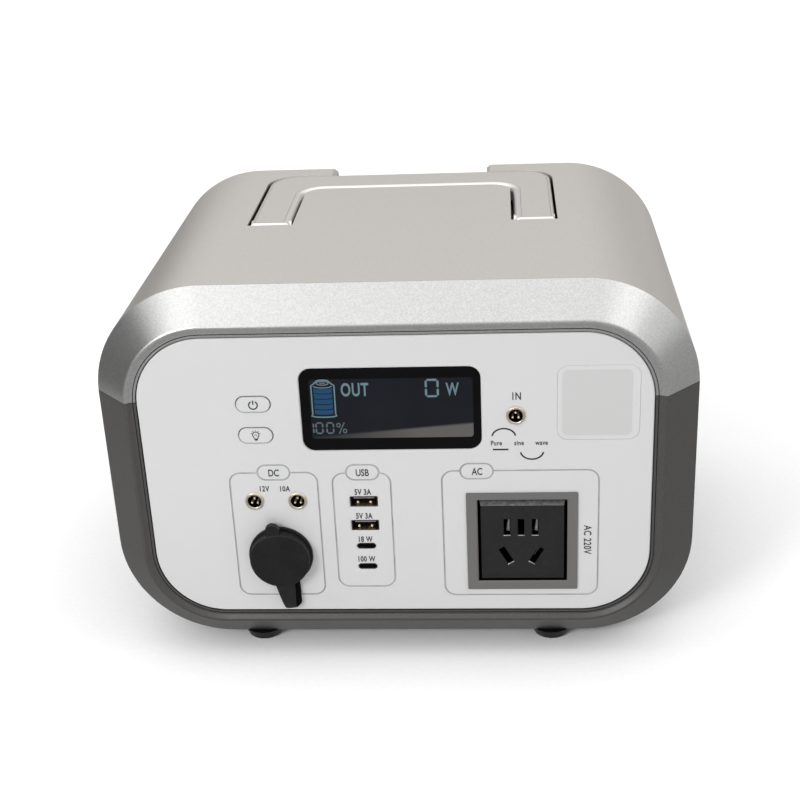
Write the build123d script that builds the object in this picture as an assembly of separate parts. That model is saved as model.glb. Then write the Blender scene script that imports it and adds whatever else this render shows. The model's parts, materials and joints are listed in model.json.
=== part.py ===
from build123d import *
import math
import os

# Portable power station. Millimetres, +Z up, +X to the right of someone facing the front.
# While the parts are modelled, Y is the depth behind the front panel's face. On export
# everything moves by FRONT_SHIFT, which puts the origin under the centre of the whole box.

# ---- driving dimensions -------------------------------------------------------------------
WIDTH = 276.0
HEIGHT = 188.0
FOOT_HEIGHT = 5.0
CORNER_R = 52.0
WALL = 3.0
BEZEL_DEPTH = 15.5
CASING_LENGTH = 188.1
SPLIT_Z = 137.6
SEAM = 0.2

PANEL_HALF_W = 116.8
PANEL_LOW = 26.3
PANEL_TOP = 168.7
REAR_PANEL_TOP = 158.0
PANEL_R = 32.0
PANEL_T = 3.0
PANEL_GAP = 0.3
LIP_W = 2.4
LIP_LINE = 1.25
LIP_LINE_W = 0.4
LIP_DROP = 0.2
RIDGE_IN = 4.3
RIDGE_W = 5.4
RIDGE_PROUD = 0.9
MOUTH_EASE = 0.45

CHANNEL_HALF_W = 77.6
CHANNEL_FRONT = 101.4
CHANNEL_REAR = 191.4
PAD_HALF_W = 54.6
PAD_REAR = 164.5
HANDLE_T = 7.8
HANDLE_TOP = HEIGHT - 0.2
HANDLE_FRONT = 104.5
HANDLE_REAR = 190.9
ARM_OUT = 76.4
ARM_IN = 56.0
CROSSBAR_FRONT = 167.2
PIVOT_Y = 110.5
PIVOT_Z = 182.5
PIN_R = 2.0
PIN_INNER_END = 52.3
PIN_OUTER_END = 79.0
SCOOP_HALF_W = 42.0
SCOOP_FLOOR = 171.5
SCOOP_EASE = 1.8
TUB_WALL = 2.5

CAP_X, CAP_Z = -56.4, 57.5
CAP_R = 14.1
CAP_FACE = -6.4
CAP_TURN = 9.0
CAP_HINGE_DROP = 24.2
CAP_HINGE_Y = -2.0
SOCKET_BORE_R = 10.5
SOCKET_MOUTH_R = 10.9
SOCKET_FLOOR = 37.0

BUTTON_X = -63.2
BUTTON_Z = {"power": 136.1, "light": 120.5}
BUTTON_W, BUTTON_H = 15.4, 7.3
BUTTON_GAP = 0.4

FAN_Z = 118.0
FAN_SIZE = 70.0
FAN_FRONT = 199.0
FAN_DEPTH = 15.0

CASING_START = BEZEL_DEPTH
CASING_END = CASING_START + CASING_LENGTH
DEPTH = CASING_END + BEZEL_DEPTH
BODY_HALF_W = WIDTH / 2
FRONT_SHIFT = -(DEPTH + RIDGE_PROUD + CAP_FACE) / 2

os.makedirs("parts", exist_ok=True)
written = []


# ---- helpers ------------------------------------------------------------------------------
def export(name, *solids):
    """Write one sub-part, moved from depth coordinates to the part's own frame."""
    pieces = []
    for shape in solids:
        pieces.extend(Pos(0, FRONT_SHIFT, 0) * solid for solid in shape.solids())
    shape = pieces[0] if len(pieces) == 1 else Compound(children=pieces)
    shape.label = name
    export_step(shape, f"parts/{name}.step")
    written.append((name, len(pieces)))


def facing(y):
    """Plane at depth y whose sketch axes are X and Z, with its normal to the front."""
    return Plane(origin=(0, y, 0), x_dir=(1, 0, 0), z_dir=(0, -1, 0))


def slab(outline, y0, y1):
    """Extrude an (x, z) outline from depth y0 back to depth y1."""
    return extrude(facing(y1) * outline, amount=y1 - y0)


def tapered(outline_front, y0, outline_back, y1):
    """Loft between two (x, z) outlines at depths y0 and y1."""
    return loft([facing(y0) * outline_front, facing(y1) * outline_back])


def plate(outline, z0, z1):
    """Extrude an (x, y) outline from height z0 up to height z1."""
    return extrude(Pos(0, 0, z0) * outline, amount=z1 - z0)


def block(x0, x1, y0, y1, z0, z1):
    return Pos((x0 + x1) / 2, (y0 + y1) / 2, (z0 + z1) / 2) * Box(x1 - x0, y1 - y0, z1 - z0)


def rounded(x, z, w, h, r):
    return Pos(x, z) * RectangleRounded(w, h, r)


def window(x0, x1, z0, z1, r):
    return rounded((x0 + x1) / 2, (z0 + z1) / 2, x1 - x0, z1 - z0, r)


def rod(x, z, r, y0, y1):
    """Cylinder along Y."""
    return slab(Pos(x, z) * Circle(r), y0, y1)


def post(x, y, r, z0, z1):
    """Cylinder along Z."""
    return Pos(x, y, (z0 + z1) / 2) * Cylinder(r, z1 - z0)


def axle(x0, x1, y, z, r):
    """Cylinder along X."""
    return Pos((x0 + x1) / 2, y, z) * Rot(0, 90, 0) * Cylinder(r, x1 - x0)


def joined(shapes):
    total = shapes[0]
    for shape in shapes[1:]:
        total = total + shape
    return total


def eased_mouth(outline, ease=MOUTH_EASE):
    """Cutter that puts a small chamfer round the mouth of a hole with this outline."""
    return tapered(offset(outline, ease + 0.1), -0.1, outline, ease)


def body_section(inset=0.0):
    """The casing's cross-section, seen from the front."""
    return window(-BODY_HALF_W + inset, BODY_HALF_W - inset, FOOT_HEIGHT + inset,
                  HEIGHT - inset, CORNER_R - inset)


def panel_section(grow, top=PANEL_TOP):
    return window(-PANEL_HALF_W - grow, PANEL_HALF_W + grow, PANEL_LOW - grow,
                  top + grow, PANEL_R + grow)


def arch(half_w, front, rear, r):
    """U-shaped top-view outline's outer edge: square at the front, rounded at the rear."""
    whole = Pos(0, (front - 2 * r + rear) / 2) * RectangleRounded(2 * half_w, rear - front + 2 * r, r)
    keep = Pos(0, (front + rear) / 2) * Rectangle(2 * half_w, rear - front)
    return whole & keep


def above_split(shape):
    return shape & block(-200, 200, -20, 260, SPLIT_Z + SEAM / 2, 260)


def below_split(shape):
    return shape & block(-200, 200, -20, 260, -20, SPLIT_Z - SEAM / 2)


def flip(shape):
    """Front to rear mirror image, about the middle of the depth."""
    return mirror(shape, about=Plane(origin=(0, DEPTH / 2, 0), z_dir=(0, 1, 0)))


def screw(x, y, z, axis, head_r=2.6, shank_r=1.4, length=9.0):
    """Pan-head screw whose head sits on (x, y, z) and whose shank runs along axis."""
    body = Pos(0, 0, length / 2) * Cylinder(shank_r, length)
    head = Pos(0, 0, -0.9) * Cylinder(head_r, 1.8)
    slot = Pos(0, 0, -1.5) * Box(2 * head_r * 0.7, 0.6, 0.8)
    cross = Pos(0, 0, -1.5) * Box(0.6, 2 * head_r * 0.7, 0.8)
    return Plane(origin=(x, y, z), z_dir=axis) * (body + head - slot - cross)


# ---- casing -------------------------------------------------------------------------------
def bezel_ring(top):
    """Front surround: lip round the panel, inner step, rounded ridge, then a slope outwards."""
    outside = tapered(panel_section(RIDGE_W, top), -RIDGE_PROUD, body_section(), BEZEL_DEPTH - SEAM / 2)
    ridge_edges = outside.edges().filter_by_position(Axis.Y, -RIDGE_PROUD - 0.01, -RIDGE_PROUD + 0.01)
    outside = fillet(ridge_edges, 1.6)
    hollow = tapered(panel_section(LIP_W + 0.6, top), PANEL_T, body_section(WALL), BEZEL_DEPTH)
    step_run = (RIDGE_IN - LIP_W) / (RIDGE_PROUD + LIP_DROP)
    lip_recess = tapered(panel_section(RIDGE_IN + step_run, top), -RIDGE_PROUD - 1.0,
                         panel_section(LIP_W, top), LIP_DROP)
    line = slab(panel_section(LIP_LINE + LIP_LINE_W, top) - panel_section(LIP_LINE, top), 0, LIP_DROP + 0.5)
    opening = slab(panel_section(0.2, top), -5, 10)
    return outside - hollow - lip_recess - line - opening


def scoop_trough(grow):
    """Finger scoop behind and under the handle's crossbar, open to the rear."""
    half = SCOOP_HALF_W + grow
    floor = SCOOP_FLOOR - grow
    outline = window(-half, half, floor, HEIGHT + 30, 5.0 + grow)
    return slab(outline, PAD_REAR + 0.6 - grow, DEPTH + 5)


def scoop_brow():
    """Eased upper corners of the scoop, behind the handle's channel."""
    half, ease = SCOOP_HALF_W, SCOOP_EASE
    outline = Polygon((-half - 1.2 * ease, HEIGHT + 0.2), (-half, HEIGHT - ease), (half, HEIGHT - ease),
                      (half + 1.2 * ease, HEIGHT + 0.2), align=None)
    return slab(outline, CHANNEL_REAR - 1, DEPTH + 5)


def body_hull():
    """Outer surface of casing and rear bezel together, as one solid."""
    middle = slab(body_section(), CASING_START, CASING_END)
    rear = flip(tapered(panel_section(RIDGE_W, REAR_PANEL_TOP), -RIDGE_PROUD, body_section(), BEZEL_DEPTH))
    return middle + rear


def handle_channel(grow=0.0, depth=0.0):
    """Space the folded handle lies in, with deeper ends where its arms turn."""
    outer = arch(CHANNEL_HALF_W + grow, CHANNEL_FRONT - grow, CHANNEL_REAR + grow, 17.0 + grow)
    inner = arch(PAD_HALF_W - grow, CHANNEL_FRONT - 20, PAD_REAR - grow, 10.0 - grow)
    floor = HEIGHT - 10.8 - depth
    channel = plate(outer - inner, floor, HEIGHT + 5)
    for side in (-1, 1):
        x0, x1 = sorted((side * (PAD_HALF_W - grow), side * (CHANNEL_HALF_W + grow)))
        channel += block(x0, x1, CHANNEL_FRONT - grow, 123 + grow, PIVOT_Z - 9.2 - depth, HEIGHT)
    return channel


def casing_shell():
    return slab(body_section() - body_section(WALL), CASING_START + SEAM / 2, CASING_END - SEAM / 2)


def upper_casing():
    hull = body_hull()
    shell = above_split(casing_shell())
    tub = handle_channel(TUB_WALL, TUB_WALL) & hull
    trough = scoop_trough(TUB_WALL) & hull
    casing = shell + tub + trough
    casing = casing - handle_channel() - scoop_trough(0) - scoop_brow()
    for side in (-1, 1):
        x0, x1 = sorted((side * PIN_INNER_END, side * PIN_OUTER_END))
        casing -= axle(x0, x1, PIVOT_Y, PIVOT_Z, PIN_R)
    return casing


def side_vents():
    """Rows of cooling slots through both side walls of the lower casing."""
    slots = []
    for side in (-1, 1):
        for row in range(7):
            z = 66.0 + 8.0 * row
            slots.append(block(side * BODY_HALF_W - 8, side * BODY_HALF_W + 8, 118, 182, z, z + 3.2))
    return slots


def lower_casing():
    shell = below_split(casing_shell())
    for slot in side_vents():
        shell -= slot
    for side in (-1, 1):
        x0, x1 = sorted((side * 124.0, side * (BODY_HALF_W - 2)))
        shell += block(x0, x1, 60, 194, 84.0, 87.0) & slab(body_section(1.0), 0, 220)
    for x, y in foot_places():
        shell -= post(x, y, 1.4, 0, 12)
    return shell


def foot_places():
    return [(x, y) for x in (-71.7, 71.7) for y in (22.5, DEPTH - 22.5)]


def rubber_feet():
    feet = []
    for x, y in foot_places():
        foot = Pos(x, y, FOOT_HEIGHT / 2) * Cone(8.3, 10.5, FOOT_HEIGHT)
        foot = fillet(foot.edges().filter_by_position(Axis.Z, -0.01, 0.01), 1.2)
        foot -= post(x, y, 3.0, -1, 2.5)
        foot -= post(x, y, 1.5, 0, 6)
        feet.append(foot)
    return feet


def foot_screws():
    return [screw(x, y, 2.5, (0, 0, 1), 2.6, 1.35, 8.5) for x, y in foot_places()]


# ---- front panel --------------------------------------------------------------------------
LCD = (-41.6, 39.5, 112.4, 152.9)
LENS = (73.5, 110.1, 116.5, 152.7)
AC_FRAME = (31.7, 83.1, 38.2, 89.7)
AC_BODY = (36.9, 78.3, 42.7, 86.0)
SOCKET_GAP = 0.6
FLARE = 0.5
SLOT_EASE = 0.3
DC_JACKS = {"dc_jack_left": (-66.7, 86.5), "dc_jack_right": (-46.5, 86.4), "input_jack": (55.0, 128.9)}
JACK_PINS = [(0, 1.1), (-1.35, -1.25), (1.35, -1.25)]
JACK_PIN_R = 0.52
USB_A = {"upper": (-15.6, 85.5), "lower": (-15.6, 72.9)}
USB_C = {"upper": (-15.6, 61.8), "lower": (-15.5, 50.7)}
GROUPS = {
    "dc": ((-77.9, -36.1, 35.1, 101.6), (-64.5, -48.7, 97.1, 105.6)),
    "usb": ((-30.0, -2.3, 39.4, 101.0), (-23.4, -7.5, 96.7, 105.3)),
    "ac": ((20.5, 93.0, 34.4, 101.6), (29.1, 44.9, 96.7, 105.3)),
}
GROOVE_W = 0.8
GROOVE_DEPTH = 0.4


def outline_ring(x0, x1, z0, z1, r):
    """Fine engraved line round a rounded rectangle."""
    outer = window(x0, x1, z0, z1, r)
    inner = window(x0 + GROOVE_W, x1 - GROOVE_W, z0 + GROOVE_W, z1 - GROOVE_W, r - GROOVE_W)
    return outer - inner


def group_grooves():
    """A frame round each group of outlets, interrupted by its label's pill outline."""
    grooves = []
    for frame, pill in GROUPS.values():
        pill_r = (pill[3] - pill[2]) / 2 - 0.01
        line = outline_ring(*frame, 5.6) - window(*pill, pill_r)
        line += outline_ring(*pill, pill_r)
        grooves.append(slab(line, -1, GROOVE_DEPTH))
    return grooves


def button_cutout(z):
    w, h = BUTTON_W + 2 * BUTTON_GAP, BUTTON_H + 2 * BUTTON_GAP
    pill = rounded(BUTTON_X, z, w, h, h / 2 - 0.01)
    return slab(pill, -1, 10) + eased_mouth(pill, 0.3)


def front_panel():
    face = slab(panel_section(-PANEL_GAP), 0, PANEL_T)
    face = fillet(face.edges().filter_by_position(Axis.Y, -0.01, 0.01), 0.7)
    panel = face + slab(panel_section(LIP_W), PANEL_T, PANEL_T + 1.6)
    for groove in group_grooves():
        panel -= groove
    display = window(LCD[0] - 0.2, LCD[1] + 0.2, LCD[2] - 0.2, LCD[3] + 0.2, 5.7)
    panel -= slab(display, -1, 2.2) + eased_mouth(display)
    panel -= slab(window(LCD[0] + 3, LCD[1] - 3, LCD[2] + 3, LCD[3] - 3, 2.5), -1, 10)
    panel -= slab(window(LENS[0] - 0.1, LENS[1] + 0.1, LENS[2] - 0.1, LENS[3] + 0.1, 5.1), -1, 10)
    x0, x1, z0, z1 = AC_FRAME
    panel -= slab(window(x0 + 1.4, x1 - 1.4, z0 + 1.4, z1 - 1.4, 1.0), -1, 10)
    for z in BUTTON_Z.values():
        panel -= button_cutout(z)
    for x, z in DC_JACKS.values():
        panel -= rod(x, z, 3.95, -1, 10)
    for x, z in USB_A.values():
        port = rounded(x, z, 13.0, 5.5, 0.5)
        panel -= slab(port, -1, 10) + eased_mouth(port)
    for x, z in USB_C.values():
        port = rounded(x, z, 9.1, 3.2, 1.59)
        panel -= slab(port, -1, 10) + eased_mouth(port, 0.3)
    panel -= rod(CAP_X, CAP_Z, 12.6, -1, 10)
    anchor_x, anchor_z = cap_point(0, -CAP_HINGE_DROP - 3.2)
    panel -= rod(anchor_x, anchor_z, 1.6, -1, 10)
    return panel


def display_window():
    glass = slab(window(*LCD, 5.5), 0.3, 2.1)
    return fillet(glass.edges().filter_by_position(Axis.Y, 0.29, 0.31), 0.35)


def lcd_module():
    glass = block(-37.5, 35.4, 3.2, 5.6, 116.2, 149.1)
    bezel = block(-39.0, 36.9, 5.6, 10.2, 114.8, 150.5)
    return [glass, bezel]


def led_lens():
    """Translucent cup: a flat face flush with the panel and a short skirt behind it."""
    cup = slab(window(*LENS, 5.0), 0.1, 8.0)
    inside = window(LENS[0] + 2.0, LENS[1] - 2.0, LENS[2] + 2.0, LENS[3] - 2.0, 3.0)
    return cup - slab(inside, 1.8, 9)


def led_board():
    return block(LENS[0] + 0.3, LENS[1] - 0.3, 8.3, 9.9, LENS[2] + 0.3, LENS[3] - 0.3)


def led_chips():
    chips = []
    for row in range(3):
        for col in range(4):
            x = LENS[0] + 6.3 + 8.0 * col
            z = LENS[2] + 8.1 + 10.0 * row
            chips.append(block(x - 1.75, x + 1.75, 6.9, 8.3, z - 1.4, z + 1.4))
    return chips


# ---- mains outlet -------------------------------------------------------------------------
def ac_socket_frame():
    x0, x1, z0, z1 = AC_FRAME
    rim = slab(window(x0, x1, z0, z1, 0.6), -0.7, 0)
    neck = slab(window(x0 + 1.6, x1 - 1.6, z0 + 1.6, z1 - 1.6, 0.8), 0, 7)
    hole = slab(window(AC_BODY[0], AC_BODY[1], AC_BODY[2], AC_BODY[3], 0.3), -2, 8)
    wide = window(AC_BODY[0] - FLARE, AC_BODY[1] + FLARE, AC_BODY[2] - FLARE, AC_BODY[3] + FLARE, 0.5)
    flare = tapered(wide, -0.71, window(AC_BODY[0], AC_BODY[1], AC_BODY[2], AC_BODY[3], 0.3), FLARE - 0.7)
    return rim + neck - hole - flare


AC_SLOTS_UP = [(50.4, 71.1), (56.95, 71.1), (63.5, 71.1)]
AC_SLOTS_TILTED = [(49.9, 56.0, 30.0), (64.1, 56.0, -30.0)]


def ac_slot_outlines(grow=0.0):
    outlines = [Pos(x, z) * Rectangle(2.9 + grow, 8.4 + grow) for x, z in AC_SLOTS_UP]
    for x, z, turn in AC_SLOTS_TILTED:
        outlines.append(Pos(x, z) * Rot(0, 0, turn) * Rectangle(3.0 + grow, 8.9 + grow))
    return outlines


def ac_socket_body():
    x0, x1, z0, z1 = AC_BODY
    c = SOCKET_GAP
    front = tapered(window(x0 + 1.5, x1 - 1.5, z0 + 1.0, z1 - 3.4, 0.2), 0.4,
                    window(x0 + c, x1 - c, z0 + c, z1 - c, 0.2), 3.2)
    middle = slab(window(x0 + c, x1 - c, z0 + c, z1 - c, 0.2), 3.2, 7.3)
    back = slab(window(x0 - 3.0, x1 + 3.0, z0 - 2.5, z1 + 2.5, 2.0), 7.3, 30)
    body = front + middle + back
    for outline in ac_slot_outlines():
        wide = offset(outline, SLOT_EASE + 0.1, kind=Kind.INTERSECTION)
        mouth = tapered(wide, 0.3, outline, 0.4 + SLOT_EASE)
        body -= slab(outline, -1, 22) + mouth
    return body


def ac_socket_contacts():
    """A sprung metal leaf in each slot; the outer two upright ones taper to the top."""
    contacts = []
    for x, z in AC_SLOTS_UP:
        front = 14 if x == AC_SLOTS_UP[1][0] else 3.5
        wedge = Polygon((x - 0.3, z - 3.4), (x + 1.2, z - 3.4), (x + 1.2, z + 3.2), (x + 0.8, z + 3.2),
                        align=None)
        contacts.append(slab(wedge, front, 21))
    for x, z, turn in AC_SLOTS_TILTED:
        leaf = slab(Pos(x, z) * Rot(0, 0, turn) * Pos(1.0, 0) * Rectangle(0.6, 7.6), 7, 21)
        contacts.append(leaf)
    return contacts


# ---- low-voltage outlets ------------------------------------------------------------------
def barrel_jack(x, z):
    jack = rod(x, z, 4.35, -0.9, 0) + rod(x, z, 3.9, 0, 12) - rod(x, z, 3.15, -2, 10.5)
    return fillet(jack.edges().filter_by_position(Axis.Y, -0.91, -0.89), 0.5)


def jack_pins():
    """Three round-nosed pins in each jack: one above and two below."""
    pins = []
    for x, z in DC_JACKS.values():
        for across, up in JACK_PINS:
            pin = rod(x + across, z + up, JACK_PIN_R, 0.2, 10.5)
            pins.append(fillet(pin.edges().filter_by_position(Axis.Y, 0.19, 0.21), 0.35))
    return pins


def usb_a_shell(x, z):
    outer = slab(rounded(x, z, 12.8, 5.3, 0.4), 0.5, 14)
    return outer - slab(rounded(x, z, 12.1, 4.6, 0.3), -1, 13.4)


def usb_a_tongue(x, z):
    return block(x - 5.6, x + 5.6, 1.6, 13.3, z - 0.1, z + 1.5)


def usb_a_contacts(x, z):
    """Gold contacts under each tongue, and the two sprung grips below them."""
    bars = [block(x + dx - 0.55, x + dx + 0.55, 2.2, 11.0, z - 0.3, z - 0.1) for dx in (-3.5, -1.2, 1.2, 3.5)]
    grips = []
    for dx in (-3.0, 3.0):
        nose = rod(x + dx, z - 0.95, 0.6, 1.3, 2.0)
        nose = fillet(nose.edges().filter_by_position(Axis.Y, 1.29, 1.31), 0.35)
        grips.append(nose + block(x + dx - 0.5, x + dx + 0.5, 1.9, 6.0, z - 1.5, z - 0.9))
    return bars + grips


def usb_c_shell(x, z):
    outer = slab(rounded(x, z, 8.94, 3.0, 1.49), 0.35, 8)
    inner = rounded(x, z, 8.34, 2.4, 1.19)
    return outer - slab(inner, -1, 7.4)


def usb_c_tongue(x, z):
    return block(x - 3.3, x + 3.3, 0.9, 7.4, z - 0.35, z + 0.35)


def socket_flange():
    """Plastic collar of the 12 V socket, proud of the panel."""
    ring = rod(CAP_X, CAP_Z, 15.2, -1.3, 0) + rod(CAP_X, CAP_Z, 12.4, 0, 8)
    ring -= rod(CAP_X, CAP_Z, 11.6, -3, 9)
    return ring


def socket_barrel():
    """Metal tube of the 12 V socket: a wider mouth for the cap's plug, then the plug's bore."""
    tube = rod(CAP_X, CAP_Z, 11.5, -1.0, SOCKET_FLOOR + 4)
    tube -= rod(CAP_X, CAP_Z, SOCKET_MOUTH_R, -2, 3)
    tube -= rod(CAP_X, CAP_Z, SOCKET_BORE_R, 2, SOCKET_FLOOR)
    tube -= rod(CAP_X, CAP_Z, 5.0, SOCKET_FLOOR - 1, SOCKET_FLOOR + 2)
    return tube - rod(CAP_X, CAP_Z, 2.2, SOCKET_FLOOR, SOCKET_FLOOR + 6)


def socket_contact():
    """Centre contact, sunk in the floor of the socket, and its tail."""
    disc = rod(CAP_X, CAP_Z, 4.5, SOCKET_FLOOR + 0.5, SOCKET_FLOOR + 1.5)
    return disc + rod(CAP_X, CAP_Z, 2.1, SOCKET_FLOOR + 1.5, SOCKET_FLOOR + 8)


def cap_point(u, v):
    """Point on the tilted cap assembly: u across the strap, v up it, from the disc's centre."""
    a = math.radians(CAP_TURN)
    return CAP_X + u * math.cos(a) - v * math.sin(a), CAP_Z + u * math.sin(a) + v * math.cos(a)


def on_cap(outline):
    return Pos(CAP_X, CAP_Z) * Rot(0, 0, CAP_TURN) * outline


def socket_cap():
    disc = slab(on_cap(Circle(CAP_R)), CAP_FACE, -1.7)
    disc = fillet(disc.edges().filter_by_position(Axis.Y, CAP_FACE - 0.01, CAP_FACE + 0.01), 0.7)
    tab_outline = Pos(0, 15.8) * RectangleRounded(6.8, 6.8, 3.3) + Pos(0, 13.0) * Rectangle(6.8, 5.0)
    tab = slab(on_cap(tab_outline), CAP_FACE + 0.2, -3.4)
    plug = tapered(on_cap(Circle(10.2)), -1.7, on_cap(Circle(9.7)), 2.6)
    return disc + tab + plug


def cap_strap():
    """Rubber strap from the disc down to the hinge line, ending in a round bead."""
    top, low = -12.6, -CAP_HINGE_DROP
    outline = Polygon((-5.9, top), (-4.2, low), (4.2, low), (5.9, top), align=None)
    band = slab(on_cap(outline), CAP_HINGE_Y - 1.1, CAP_HINGE_Y + 0.6)
    band -= slab(on_cap(Circle(CAP_R)), CAP_FACE, -1.7)
    x, z = cap_point(0, low)
    bead = Pos(x, CAP_HINGE_Y, z) * Rot(0, -CAP_TURN, 0) * Rot(0, 90, 0) * Cylinder(1.1, 8.4)
    return band + bead


def cap_anchor():
    """Moulded end of the strap, pressed into the panel below the hinge line."""
    low = -CAP_HINGE_DROP
    foot = slab(on_cap(Pos(0, low - 2.85) * RectangleRounded(8.2, 2.7, 1.2)), -3.3, 0)
    x, z = cap_point(0, low - 3.2)
    return foot + rod(x, z, 1.6, 0, 4.6) + rod(x, z, 2.4, 4.6, 6.4)


# ---- buttons ------------------------------------------------------------------------------
def push_button(z):
    """Pill-shaped cap with a retaining flange behind the panel and a stem."""
    cap = slab(rounded(BUTTON_X, z, BUTTON_W, BUTTON_H, BUTTON_H / 2 - 0.01), -0.5, 5.2)
    cap = fillet(cap.edges().filter_by_position(Axis.Y, -0.51, -0.49), 0.4)
    flange = slab(rounded(BUTTON_X, z, BUTTON_W + 3.0, BUTTON_H + 2.4, 3.0), 5.2, 6.2)
    return cap + flange + rod(BUTTON_X, z, 1.7, 6.2, 9.8)


def button_spring(z):
    """Coil spring round the stem, shown as its stack of turns."""
    path = Helix(pitch=1.0, height=4.6, radius=2.9)
    section = Plane(origin=path @ 0, z_dir=path % 0) * Circle(0.22)
    coil = sweep(section, path=path, is_frenet=True)
    return Plane(origin=(BUTTON_X, 6.5, z), z_dir=(0, 1, 0)) * coil


def tact_switches():
    switches = []
    for z in BUTTON_Z.values():
        switches.append(block(BUTTON_X - 3, BUTTON_X + 3, 11.6, 13.4, z - 3, z + 3)
                        + rod(BUTTON_X, z, 1.7, 11.0, 11.6))
    return switches


# ---- carry handle -------------------------------------------------------------------------
def handle_outline(inset_out=0.0, inset_in=0.0, inset_front=0.0):
    outer = arch(ARM_OUT - inset_out, HANDLE_FRONT + inset_front, HANDLE_REAR - inset_out, 15.9 - inset_out)
    inner = arch(ARM_IN + inset_in, HANDLE_FRONT - 20, CROSSBAR_FRONT + inset_in, 11.0 + inset_in)
    return outer - inner


def is_inner_edge(edge):
    middle = edge.center()
    return abs(middle.X) < ARM_IN + 0.5 and middle.Y < CROSSBAR_FRONT + 0.5


def carry_handle():
    bar = plate(handle_outline(), HANDLE_TOP - HANDLE_T, HANDLE_TOP)
    top_edges = bar.edges().filter_by_position(Axis.Z, HANDLE_TOP - 0.01, HANDLE_TOP + 0.01)
    bar = fillet([edge for edge in top_edges if is_inner_edge(edge)], 3.4)
    top_edges = bar.edges().filter_by_position(Axis.Z, HANDLE_TOP - 0.01, HANDLE_TOP + 0.01)
    bar = fillet([edge for edge in top_edges if not is_top_inner(edge)], 1.5)
    for side in (-1, 1):
        x0, x1 = sorted((side * ARM_IN, side * ARM_OUT))
        bar += axle(x0, x1, PIVOT_Y, PIVOT_Z, 5.0)
    bar -= axle(-90, 90, PIVOT_Y, PIVOT_Z, PIN_R + 0.05)
    bar -= plate(handle_outline(1.75, 3.75, 1.9), HANDLE_TOP - 1.4, HANDLE_TOP + 1)
    return bar


def is_top_inner(edge):
    middle = edge.center()
    at_end = middle.Y < HANDLE_FRONT + 1
    return abs(middle.X) < ARM_IN + 3.9 and middle.Y < CROSSBAR_FRONT + 3.9 and not at_end


def handle_cover():
    """Thin plate let into the handle's upper face, with a fine line round it."""
    return plate(handle_outline(1.9, 3.9, 2.05), HANDLE_TOP - 1.4, HANDLE_TOP)


def handle_pins():
    ends = [sorted((side * PIN_INNER_END, side * PIN_OUTER_END)) for side in (-1, 1)]
    return [axle(x0, x1, PIVOT_Y, PIVOT_Z, PIN_R) for x0, x1 in ends]


# ---- rear panel and fan -------------------------------------------------------------------
def rear_panel():
    panel = slab(panel_section(-PANEL_GAP, REAR_PANEL_TOP), 0, PANEL_T)
    panel += slab(panel_section(LIP_W, REAR_PANEL_TOP), PANEL_T, PANEL_T + 1.6)
    panel = flip(panel)
    reach = FAN_SIZE / 2 - 3
    for row in range(-5, 6):
        dz = 6.0 * row
        half = math.sqrt(reach ** 2 - dz ** 2) - 1.0
        if half > 6:
            panel -= slab(rounded(0, FAN_Z + dz, 2 * half, 3.0, 1.49), DEPTH - 10, DEPTH + 5)
    for x, z in rear_screw_places():
        panel -= rod(x, z, 1.5, DEPTH - 10, DEPTH + 5)
        panel -= rod(x, z, 3.0, DEPTH - 1.9, DEPTH + 5)
    for x, z in fan_screw_places():
        panel -= rod(x, z, 1.55, DEPTH - 10, DEPTH - 2.0)
    return panel


def rear_screw_places():
    return [(x, z) for x in (-100.0, 100.0) for z in (38.0, 146.0)]


def rear_panel_screws():
    return [screw(x, DEPTH - 1.9, z, (0, -1, 0), 2.6, 1.4, 8) for x, z in rear_screw_places()]


def fan_screws():
    return [screw(x, FAN_FRONT, z, (0, 1, 0), 2.6, 1.55, 17) for x, z in fan_screw_places()]


def fan_frame():
    y0, y1 = FAN_FRONT, FAN_FRONT + FAN_DEPTH
    half = FAN_SIZE / 2
    frame = slab(rounded(0, FAN_Z, FAN_SIZE, FAN_SIZE, 3), y0, y1)
    frame -= rod(0, FAN_Z, half - 2.0, y0 - 1, y1 + 1)
    frame += rod(0, FAN_Z, 10, y0, y0 + 2)
    for turn in (0, 90):
        strut = slab(Pos(0, FAN_Z) * Rot(0, 0, 45 + turn) * Rectangle(2 * half - 2, 3), y0, y0 + 2)
        frame += strut
    frame += rod(0, FAN_Z, 1.6, y0, y0 + 12)
    for x, z in fan_screw_places():
        frame -= rod(x, z, 1.6, y0 - 1, y1 + 1)
    return frame


def fan_screw_places():
    half = FAN_SIZE / 2 - 4.5
    return [(dx, FAN_Z + dz) for dx in (-half, half) for dz in (-half, half)]


def fan_rotor():
    """Hub and seven pitched blades, running on the frame's pin."""
    y0 = FAN_FRONT + 3.0
    hub = rod(0, FAN_Z, 12.0, y0, y0 + 10.5) - rod(0, FAN_Z, 1.65, y0 - 1, y0 + 10)
    rotor = hub
    for k in range(7):
        blade = Pos(21.0, 0, 0) * Rot(35, 0, 0) * Box(20.0, 1.2, 12.0)
        rotor += Pos(0, y0 + 5.2, FAN_Z) * Rot(0, k * 360 / 7, 0) * blade
    keep = rod(0, FAN_Z, FAN_SIZE / 2 - 3.0, y0, y0 + 10.5)
    return rotor & keep


# ---- boards and battery inside ------------------------------------------------------------
CELL_R = 16.1
CELL_L = 70.8
BANKS = (56.5, 129.3)
CELL_X = [33.6 * (k - 3) for k in range(7)]
CELL_Z = (28.6, 62.2)


def battery_cells():
    return [rod(x, z, CELL_R, y, y + CELL_L) for y in BANKS for z in CELL_Z for x in CELL_X]


def cell_holders():
    outline = window(-117.4, 117.4, 11.6, 79.2, 17.4)
    holders = []
    for y in BANKS:
        for offset in (4.0, CELL_L - 8.0):
            holder = slab(outline, y + offset, y + offset + 4.0)
            for x in CELL_X:
                for z in CELL_Z:
                    holder -= rod(x, z, CELL_R + 0.1, 0, 240)
            holders.append(holder)
    return holders


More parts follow.
